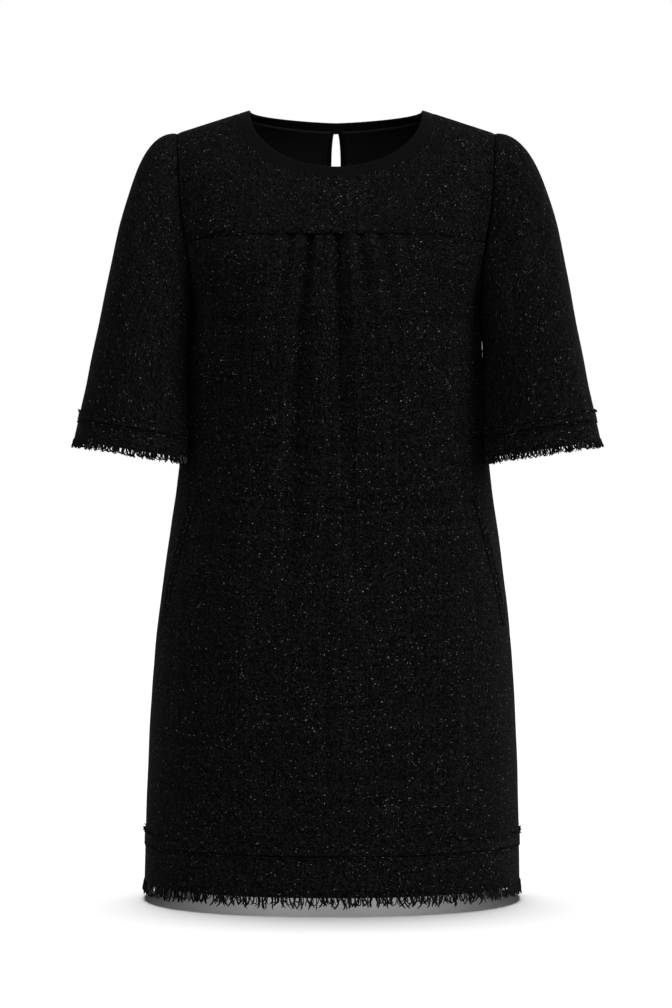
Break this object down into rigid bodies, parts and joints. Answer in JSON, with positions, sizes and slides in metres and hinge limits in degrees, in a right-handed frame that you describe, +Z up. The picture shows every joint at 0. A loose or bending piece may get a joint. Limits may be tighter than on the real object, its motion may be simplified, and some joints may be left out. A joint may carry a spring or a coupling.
{
  "type": "shift dress",
  "caption": "Collarless shift dress in black looped tweed with a gathered front yoke, elbow sleeves, fringed cuffs and hem, slanted pockets and a buttoned keyhole at the back neck.",
  "frame": {"origin": "the middle of the shoulder line, level with the two neck points where the shoulder seams meet the finished neck edge; the wearer's shoulders carry the dress here", "axes": "+Z up, the front of the dress faces -Y, +X is the wearer's left"},
  "size_m": [0.583, 0.2808, 0.8749],
  "materials": {
    "tweed": "matt black looped tweed with a fine basket weave and scattered pale metallic flecks",
    "fringe": "the tweed's own black yarns, loose and looped",
    "crepe": "smooth matt black crepe",
    "lining": "smooth black lining with a soft satin sheen"
  },
  "bodies": {
    "root": {"yoke_front": "tweed", "yoke_back": "tweed", "body_front": "tweed", "body_back": "tweed", "sleeve_left": "tweed", "sleeve_right": "tweed", "back_lining": "lining", "neck_binding": "crepe", "keyhole_binding": "crepe", "button": "crepe", "button_loop": "crepe", "pocket_welt_left": "tweed", "pocket_welt_right": "tweed", "cuff_trim_left": "fringe", "cuff_trim_right": "fringe", "cuff_band_left": "tweed", "cuff_band_right": "tweed", "cuff_fringe_left": "fringe", "cuff_fringe_right": "fringe", "hem_trim": "fringe", "hem_band": "tweed", "hem_fringe": "fringe"}
  },
  "joints": []
}
